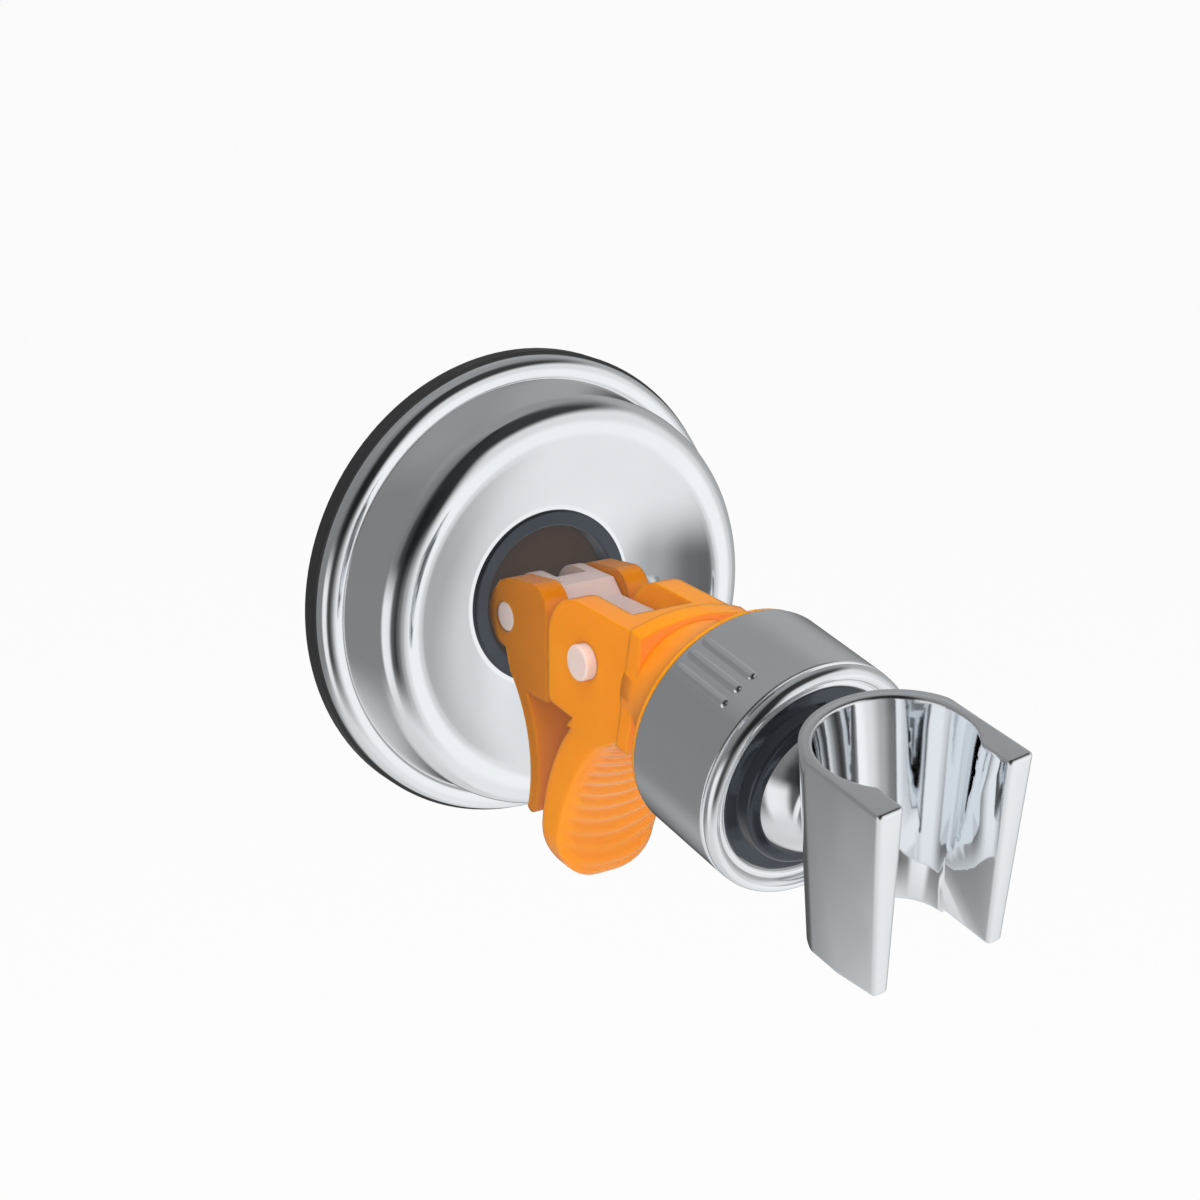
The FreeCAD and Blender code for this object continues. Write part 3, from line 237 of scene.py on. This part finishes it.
def new_piece(mesh, name, node, crease):
    """Show a closed mesh in place of a node of the frame, on its body and with its look."""
    obj = bpy.data.objects.new(name, mesh)
    bpy.context.scene.collection.objects.link(obj)
    bpy.context.view_layer.objects.active = obj
    obj.select_set(True)
    bpy.ops.object.mode_set(mode="EDIT")
    bpy.ops.mesh.select_all(action="SELECT")
    bpy.ops.mesh.normals_make_consistent(inside=False)
    bpy.ops.object.mode_set(mode="OBJECT")
    bpy.ops.object.shade_smooth_by_angle(angle=math.radians(crease))
    obj.select_set(False)
    dress(obj, SLOT_OF[node])
    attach(obj, BODY_OF[node])
    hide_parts(node)
    return obj


# Edges of a turned piece sharper than this, in degrees, stay hard
TURNED_CREASE = 28


def lathe(name, corners, node, place=None, segments=180, bars=()):
    """A ring turned round the -Y axis of its place, which replaces a node of the frame."""
    vertices, faces = turned_mesh(corners, segments)
    for bar_vertices, bar_faces in bars:
        faces += [[len(vertices) + index for index in face] for face in bar_faces]
        vertices += bar_vertices
    mesh = bpy.data.meshes.new(name)
    mesh.from_pydata(vertices, [], faces)
    if place:
        mesh.transform(place)
    mesh.update()
    return new_piece(mesh, name, node, TURNED_CREASE)


def grip_bar(middle, radius, rear, front, half_width, height):
    """A rounded bar on a cylinder, at an angle from its top, between two places along its axis."""
    rings = (1.0, 0.97, 0.9, 0.75, 0.5, 0.2)
    steps = 8
    sunk = 0.05
    vertices = []
    for share in rings:
        level = radius - sunk + height * math.sqrt(1 - share * share)
        width = half_width * share
        for end, first in ((front - half_width, 0.0), (rear + half_width, math.pi)):
            for step in range(steps + 1):
                turn = first + math.pi * step / steps
                angle = middle + width * math.cos(turn) / radius
                along = end + width * math.sin(turn)
                vertices.append((level * math.sin(angle) * MM, -along * MM,
                                 level * math.cos(angle) * MM))
    count = 2 * (steps + 1)
    faces = [list(range(count)), list(range((len(rings) - 1) * count, len(rings) * count))]
    for ring in range(len(rings) - 1):
        for index in range(count):
            following = (index + 1) % count
            faces.append([ring * count + index, ring * count + following,
                          (ring + 1) * count + following, (ring + 1) * count + index])
    return vertices, faces


# Corners of the frame's facets that are this close are one corner
SAME_PLACE = 0.002 * MM


def finer(node, name, crease, change=None):
    """A copy of a node's mesh with plain smooth shading, changed a little if asked."""
    source = frame["nodes"][node]
    work = bmesh.new()
    work.from_mesh(source.data)
    work.transform(source.matrix_world)
    bmesh.ops.remove_doubles(work, verts=work.verts, dist=SAME_PLACE)
    if change:
        change(work)
    mesh = bpy.data.meshes.new(name)
    work.to_mesh(mesh)
    work.free()
    return new_piece(mesh, name, node, crease)


# The drooping arm in millimetres: its fold pin's place, and how far its axis is above the pin
DROOP = math.radians(11.0)
PIN_OUT = 38.8
PIN_HEIGHT = -1.9
AXIS_OVER_PIN = 1.17
ARM = (Matrix.Translation((0, -PIN_OUT * MM, PIN_HEIGHT * MM)) @ Matrix.Rotation(DROOP, 4, "X")
       @ Matrix.Translation((0, 0, AXIS_OVER_PIN * MM)))
FLANGE_REAR = 11.25

# The finger pad in millimetres: points are (out, height) from the fold pin, level with the ground
PAD_ROOT = -13.1
PAD_FRONT = ((10.5, -10.4), (-8.7, -37.2))
PAD_FRONT_RADIUS = 37.0
PAD_REAR = ((-0.7, -8.4), (-15.3, -36.5))
PAD_REAR_RADIUS = 33.9
PAD_HALF_WIDTH = 10.46
TOE_LENGTH = 7.2
TOE_LEAN = 0.7
# Depths below the arm's axis between which the toe's corners turn
PAD_CORNER_START = 36.0
PAD_TOE = 46.42
# Grip ribs, arcs across the pad that follow each other along it
RIB_PITCH = 2.9
RIB_HEIGHT = 0.55
RIB_CURVE = 17.0
RIB_BORDER = 1.0
LAST_RIB = 40.2


def without_pad(work):
    """Cut the finger pad off the arm, below the cheeks and behind the flange."""
    level = (PIN_HEIGHT + PAD_ROOT) * MM
    behind = ARM @ Vector((0, -FLANGE_REAR * MM, 0))
    along = ARM.to_3x3() @ Vector((0, -1, 0))
    for place, normal in ((Vector((0, 0, level)), Vector((0, 0, 1))), (behind, along)):
        bmesh.ops.bisect_plane(work, geom=work.verts[:] + work.edges[:] + work.faces[:],
                               plane_co=place, plane_no=normal)
    gone = []
    for face in work.faces:
        middle = face.calc_center_median()
        if middle.z < level and (middle - behind).dot(along) < 0:
            gone.append(face)
    bmesh.ops.delete(work, geom=gone, context="FACES")


def oval(share, power):
    """Half thickness of a squarish oval of size 1 at a share of its half width."""
    return (1 - share ** power) ** (1 / power)


def pad_rows():
    """Front and rear of the finger pad in side view, as (front, rear, half width, length) rows."""
    steps, toe_steps = 96, 24
    corner_power, toe_power = 2.2, 2.3
    least_width, toe_end = 0.2, 0.9995
    front = [PAD_FRONT[0]] + arc(*PAD_FRONT, -PAD_FRONT_RADIUS, steps) + [PAD_FRONT[1]]
    rear = [PAD_REAR[0]] + arc(*PAD_REAR, -PAD_REAR_RADIUS, steps) + [PAD_REAR[1]]
    middle = ((front[-1][0] + rear[-1][0]) / 2, (front[-1][1] + rear[-1][1]) / 2)
    half = ((front[-1][0] - rear[-1][0]) / 2, (front[-1][1] - rear[-1][1]) / 2)
    sides = list(zip(front, rear))
    for step in range(1, toe_steps + 1):
        share = min(math.sin(math.pi / 2 * step / toe_steps), toe_end)
        thin = oval(share, toe_power)
        x, y = middle[0] + TOE_LEAN * share, middle[1] - TOE_LENGTH * share
        sides.append(((x + half[0] * thin, y + half[1] * thin), (x - half[0] * thin, y - half[1] * thin)))
    rows = []
    length = 0.0
    last = front[0]
    for ahead, behind in sides:
        x, y = (ahead[0] + behind[0]) / 2, (ahead[1] + behind[1]) / 2
        depth = AXIS_OVER_PIN - x * math.sin(DROOP) - y * math.cos(DROOP)
        low = max(depth - PAD_CORNER_START, 0.0) / (PAD_TOE - PAD_CORNER_START)
        width = PAD_HALF_WIDTH * max(1 - low ** corner_power, 1e-6) ** (1 / corner_power)
        length += math.dist(ahead, last)
        last = ahead
        rows.append((ahead, behind, max(width, least_width), length))
    return rows


def rib_height(x, width, length):
    """Height of the grip ribs on the pad's front, at a place across it and along it."""
    side_fade, end_fade, sharpness = 1.3, 1.5, 1.2
    smile = RIB_CURVE - math.sqrt(RIB_CURVE ** 2 - x * x)
    wave = 0.5 + 0.5 * math.cos(2 * math.pi * (length + smile) / RIB_PITCH)
    border = min(max((width - abs(x) - RIB_BORDER) / side_fade, 0.0), 1.0)
    border *= min(max((LAST_RIB - length) / end_fade, 0.0), 1.0)
    return RIB_HEIGHT * border * wave ** sharpness


def finger_pad():
    """The pad with soft edges, a round toe and curved grip ribs on its hollow front."""
    soft_power, root_power, root_length = 7, 18, 9
    columns = 45
    heights = (0.0, 0.12, 0.28, 0.42, 0.55, 0.66, 0.76, 0.84)
    ends = [oval(height, soft_power) for height in heights]
    inner = [ends[-1] * (1 - 2 * step / columns) for step in range(1, columns)]
    across = ends + inner + [-end for end in reversed(ends)]
    vertices = []
    rows = pad_rows()
    for ahead, behind, width, length in rows:
        middle = Vector(((ahead[0] + behind[0]) / 2, (ahead[1] + behind[1]) / 2))
        half = Vector(((ahead[0] - behind[0]) / 2, (ahead[1] - behind[1]) / 2))
        outward = half.normalized()
        power = soft_power + (root_power - soft_power) * max(1 - length / root_length, 0.0)
        for side, run in ((1, across), (-1, list(reversed(across))[1:-1])):
            for share in run:
                x = share * width
                place = middle + half * (oval(min(abs(share), 1.0), power) * side)
                if side > 0:
                    place += outward * rib_height(x, width, length)
                vertices.append((x * MM, -(PIN_OUT + place.x) * MM, (PIN_HEIGHT + place.y) * MM))
    count = 2 * len(across) - 2
    faces = [list(range(count)), list(range((len(rows) - 1) * count, len(rows) * count))]
    for row in range(len(rows) - 1):
        for index in range(count):
            following = (index + 1) % count
            faces.append([row * count + index, row * count + following,
                          (row + 1) * count + following, (row + 1) * count + index])
    mesh = bpy.data.meshes.new("finger_pad")
    mesh.from_pydata(vertices, [], faces)
    return new_piece(mesh, "finger_pad", "arm_body", crease=50)


# Outlines of the turned pieces as (radius, out[, arc to the next corner]) in millimetres


def cover_outline():
    """Rolled flange, groove, straight band, rounded shoulder and dished face, and the wall behind."""
    flange, rear, front, roll = 41.3, 3.0, 6.3, 2.4
    groove, groove_out = 37.5, 5.4
    band_foot, band_foot_out, band, band_out = 37.0, 6.8, 36.5, 14.7
    shoulder, dish = 4.6, 52.0
    crest_end, crest_end_out = 29.07, 18.33
    groove_lip, groove_lip_radius = 38.2, 0.3
    dish_foot, dish_foot_out, dish_foot_radius = 16.44, 11.16, 0.8
    hole, hole_rear, hole_front, hole_wall, hole_wall_out = 14.4, 7.2, 11.1, 16.6, 9.4
    wall, lip, lip_height, dish_wall = 1.7, 2.0, 1.5, 2.0
    return [
        (flange, rear), (flange, front - roll, -roll), (flange - roll, front),
        (groove_lip, front, -groove_lip_radius), (groove_lip - 0.25, front - 0.15),
        (groove, groove_out),
        (band_foot, band_foot_out), (band, band_out, -shoulder),
        (band - shoulder, band_out + shoulder, -shoulder), (crest_end, crest_end_out, dish),
        (dish_foot, dish_foot_out, dish_foot_radius), (dish_foot - 0.29, hole_front),
        (hole, hole_front), (hole, hole_rear), (hole_wall, hole_rear),
        (hole_wall, hole_wall_out, -dish), (crest_end, crest_end_out - dish_wall),
        (band - shoulder, band_out + shoulder - wall, shoulder - wall), (band - wall, band_out),
        (band_foot - wall, rear + lip_height), (flange - lip, rear + lip_height), (flange - lip, rear)]


def throat_outline():
    """Sleeve through the hole of the face, with a brim that has soft edges."""
    bore, sleeve, brim, soft = 12.9, 14.4, 15.6, 0.48
    rear, seat, front = 6.4, 11.1, 11.9
    return [
        (bore, rear), (sleeve, rear), (sleeve, seat), (brim, seat), (brim, front - soft, -soft),
        (brim - soft, front), (bore + soft, front, -soft), (bore, front - soft)]


def bezel_outline():
    """Round ring in the collar's front, with a flat rear and a lip inside."""
    bore, seat, edge, crown, inside, roll = 16.0, 18.9, 19.5, 18.25, 17.1, 1.75
    rear, edge_out, lip, crown_out = 45.7, 46.2, 46.5, 48.0
    return [
        (bore, rear), (seat, rear), (seat, edge_out - 0.05), (edge, edge_out, -roll),
        (crown, crown_out, -roll), (inside, lip), (inside - 0.1, lip, -0.6), (bore, lip)]


COLLAR_RADIUS = 19.6
COLLAR_REAR = 27.4


def collar_outline():
    """Collar with soft edges, hollow for the arm's neck and with a narrower mouth."""
    thread, mouth, ledge, front = 17.7, 16.0, 43.8, 45.65
    rear_edge, front_edge = 0.5, 0.4
    return [
        (thread, COLLAR_REAR), (COLLAR_RADIUS - rear_edge, COLLAR_REAR, -rear_edge),
        (COLLAR_RADIUS, COLLAR_REAR + rear_edge), (COLLAR_RADIUS, front - 0.45, -front_edge),
        (COLLAR_RADIUS - front_edge, front), (mouth, front), (mouth, ledge), (thread, ledge)]


def collar_grips():
    """Three groups of three bars round the collar; the first group is left of the top."""
    first, bar_step = -38, 8.6
    front, half_width, height = 41.4, 0.8, 0.55
    return [grip_bar(math.radians(first + 120 * group + bar_step * bar), COLLAR_RADIUS,
                     COLLAR_REAR + 1.0, front, half_width, height)
            for group in range(3) for bar in (-1, 0, 1)]


lathe("cover_shell", cover_outline(), "base_cover", segments=256)
lathe("throat_lining", throat_outline(), "throat_ring")
lathe("collar_bezel", bezel_outline(), "collar_trim", ARM)
lathe("collar_shell", collar_outline(), "collar_nut", ARM, segments=256, bars=collar_grips())
finer("holder_clip", "clip_moulding", crease=35)
finer("arm_body", "arm_shell", crease=14, change=without_pad)
finger_pad()

# The link's darker look than its own slot is painted shade
# The swivel disc's near-black look in place of its own slot is painted shade
LOOK_OF = {"link": "link_plastic_painted_shade", "swivel_disc": "disc_painted_shade"}
for node, obj in frame["nodes"].items():
    dress(obj, LOOK_OF.get(node, SLOT_OF[node]))

# The photograph's chrome shows none of the other pieces, so only the clip is mirrored
MIRRORED = ("holder_clip", "clip_moulding")
for obj in bpy.context.scene.objects:
    obj.visible_glossy = obj.name in MIRRORED


# Floor, light and camera

FLOOR_HEIGHT = -0.2
FLOOR_HALF = 6
FLOOR_WHITE = 0.94


def stage_floor():
    """A plain pale floor well below the holder, nearly white to the camera, with soft shadows."""
    mesh = bpy.data.meshes.new("floor")
    corners = ((-1, -1), (1, -1), (1, 1), (-1, 1))
    mesh.from_pydata([(x * FLOOR_HALF, y * FLOOR_HALF, FLOOR_HEIGHT) for x, y in corners], [],
                     [(0, 1, 2, 3)])
    floor = bpy.data.objects.new("floor", mesh)
    bpy.context.scene.collection.objects.link(floor)
    floor.visible_glossy = False
    material, shader = new_material("pale_floor")
    tint(material, shader, noise(material, 3), (0.88, 0.88, 0.88), (0.92, 0.92, 0.92))
    shader.inputs["Roughness"].default_value = 0.7
    rays = add_node(material, "ShaderNodeLightPath")
    white = add_node(material, "ShaderNodeEmission", Color=(1, 1, 1, 1), Strength=1.0)
    share = add_node(material, "ShaderNodeMath")
    share.operation = "MULTIPLY"
    share.inputs[1].default_value = FLOOR_WHITE
    mix = add_node(material, "ShaderNodeMixShader")
    links = material.node_tree.links
    links.new(rays.outputs["Is Camera Ray"], share.inputs[0])
    links.new(share.outputs["Value"], mix.inputs["Fac"])
    links.new(shader.outputs["BSDF"], mix.inputs[1])
    links.new(white.outputs["Emission"], mix.inputs[2])
    output = next(node for node in material.node_tree.nodes if node.type == "OUTPUT_MATERIAL")
    links.new(mix.outputs["Shader"], output.inputs["Surface"])
    floor.data.materials.append(material)


def softbox(name, place, target, width, height, power):
    """A soft area lamp that lights the holder but isn't seen in the chrome."""
    light = bpy.data.lights.new(name, "AREA")
    light.shape = "RECTANGLE"
    light.size = width
    light.size_y = height
    light.energy = power
    obj = bpy.data.objects.new(name, light)
    obj.location = place
    obj.rotation_euler = (Vector(target) - Vector(place)).to_track_quat("-Z", "Y").to_euler()
    obj.visible_glossy = False
    bpy.context.scene.collection.objects.link(obj)


def ramp(tree, source, stops):
    """A smooth, slightly cool grey ramp from (position, level) stops."""
    node = tree.nodes.new("ShaderNodeValToRGB")
    node.color_ramp.interpolation = "EASE"
    items = node.color_ramp.elements
    while len(items) < len(stops):
        items.new(0.5)
    for item, (position, level) in zip(items, stops):
        item.position = position
        item.color = (level * 0.97, level * 0.985, level, 1)
    tree.links.new(source, node.inputs["Fac"])
    return node.outputs["Color"]


def math_node(tree, operation, *values):
    """A maths node whose inputs are numbers or other nodes' outputs."""
    node = tree.nodes.new("ShaderNodeMath")
    node.operation = operation
    for index, value in enumerate(values):
        if isinstance(value, (int, float)):
            node.inputs[index].default_value = value
        else:
            tree.links.new(value, node.inputs[index])
    return node.outputs["Value"]


def rise(tree, height, low, high):
    """0 below one height of the sky and 1 above another, smooth between them."""
    node = tree.nodes.new("ShaderNodeMapRange")
    node.interpolation_type = "SMOOTHSTEP"
    node.inputs["From Min"].default_value = low
    node.inputs["From Max"].default_value = high
    tree.links.new(height, node.inputs["Value"])
    return node.outputs["Result"]


def blend_colours(tree, share, first, second):
    """The first colour where the share is 0 and the second where it is 1."""
    node = tree.nodes.new("ShaderNodeMix")
    node.data_type = "RGBA"
    tree.links.new(share, node.inputs["Factor"])
    colours = [item for item in node.inputs if item.type == "RGBA"]
    tree.links.new(first, colours[0])
    tree.links.new(second, colours[1])
    return next(item for item in node.outputs if item.type == "RGBA")


# Levels of the studio's walls by direction, from the left wall round the front to the back;
# 0 and 1 are left, 0.25 is front, 0.5 is right and 0.75 is back.
LOW_WALLS = [
    (0.0, 0.95), (0.04, 0.9), (0.08, 0.12), (0.12, 0.05), (0.16, 0.16), (0.20, 0.42),
    (0.25, 0.8), (0.29, 1.0), (0.38, 1.0), (0.45, 0.72), (0.53, 0.46), (0.60, 0.38),
    (0.65, 0.09), (0.71, 0.10), (0.78, 0.26), (0.86, 0.25), (0.93, 0.25), (0.97, 0.95)]
HIGH_WALLS = [
    (0.0, 0.20), (0.06, 0.05), (0.12, 0.015), (0.22, 0.03), (0.28, 0.8), (0.42, 0.85), (0.52, 0.45),
    (0.66, 0.38), (0.76, 0.28), (0.86, 0.24), (0.94, 0.24), (1.0, 0.20)]
GROUND = [(0.0, 0.75), (0.3, 0.9), (0.5, 0.9), (0.75, 0.7), (1.0, 0.75)]
CEILING = [(0.0, 0.22), (0.1, 0.03), (0.42, 0.05), (0.6, 0.32), (0.8, 0.32), (1.0, 0.22)]
# Heights, from -1 straight down to 1 straight up, over which each zone gives way to the next
LOW_WALLS_RISE = (-0.85, -0.45)
HIGH_WALLS_RISE = (-0.1, 0.3)
CEILING_RISE = (0.5, 0.75)


def studio_world():
    """White to the camera; to lighting and mirrors a studio with white, grey and dark walls."""
    world = bpy.data.worlds.new("studio")
    bpy.context.scene.world = world
    world.use_nodes = True
    tree = world.node_tree
    tree.nodes.clear()
    where = tree.nodes.new("ShaderNodeTexCoord")
    parts = tree.nodes.new("ShaderNodeSeparateXYZ")
    tree.links.new(where.outputs["Generated"], parts.inputs["Vector"])
    turned = math_node(tree, "ARCTAN2", parts.outputs["Y"], parts.outputs["X"])
    share = math_node(tree, "MULTIPLY_ADD", turned, 0.5 / math.pi, 0.5)
    height = parts.outputs["Z"]
    low = ramp(tree, share, LOW_WALLS)
    high = ramp(tree, share, HIGH_WALLS)
    below = ramp(tree, share, GROUND)
    above = ramp(tree, share, CEILING)
    walls = blend_colours(tree, rise(tree, height, *HIGH_WALLS_RISE), low, high)
    lower = blend_colours(tree, rise(tree, height, *LOW_WALLS_RISE), below, walls)
    whole = blend_colours(tree, rise(tree, height, *CEILING_RISE), lower, above)
    soft = tree.nodes.new("ShaderNodeBackground")
    white = tree.nodes.new("ShaderNodeBackground")
    white.inputs["Color"].default_value = (1, 1, 1, 1)
    rays = tree.nodes.new("ShaderNodeLightPath")
    mix = tree.nodes.new("ShaderNodeMixShader")
    output = tree.nodes.new("ShaderNodeOutputWorld")
    tree.links.new(whole, soft.inputs["Color"])
    tree.links.new(rays.outputs["Is Camera Ray"], mix.inputs["Fac"])
    tree.links.new(soft.outputs["Background"], mix.inputs[1])
    tree.links.new(white.outputs["Background"], mix.inputs[2])
    tree.links.new(mix.outputs["Shader"], output.inputs["Surface"])


def photo_camera():
    """The photograph's viewpoint; the focal length is given in pixels of the 1200 pixel photo."""
    azimuth = math.radians(-33.55)
    elevation = math.radians(17.75)
    photo_width, focal_length = 1200, 2413
    place = (-0.21447, -0.35047, 0.12783)
    back = Vector((math.sin(azimuth) * math.cos(elevation), -math.cos(azimuth) * math.cos(elevation),
                   math.sin(elevation)))
    right = Vector((math.cos(azimuth), math.sin(azimuth), 0))
    up = back.cross(right)
    data = bpy.data.cameras.new("photo_camera")
    data.sensor_width = 36.0
    data.lens = data.sensor_width * focal_length / photo_width
    data.clip_start = 0.01
    camera = bpy.data.objects.new("photo_camera", data)
    camera.matrix_world = Matrix((
        (right.x, up.x, back.x, place[0]), (right.y, up.y, back.y, place[1]),
        (right.z, up.z, back.z, place[2]), (0, 0, 0, 1)))
    bpy.context.scene.collection.objects.link(camera)
    bpy.context.scene.camera = camera


HOLDER_MIDDLE = (0, -0.05, 0)
stage_floor()
softbox("top", (-0.15, -0.3, 1.0), HOLDER_MIDDLE, width=1.2, height=0.9, power=10.0)
softbox("fill", (-0.8, -0.8, 0.3), HOLDER_MIDDLE, width=0.8, height=0.8, power=7.5)
studio_world()
photo_camera()
bpy.context.scene.view_settings.view_transform = "Standard"
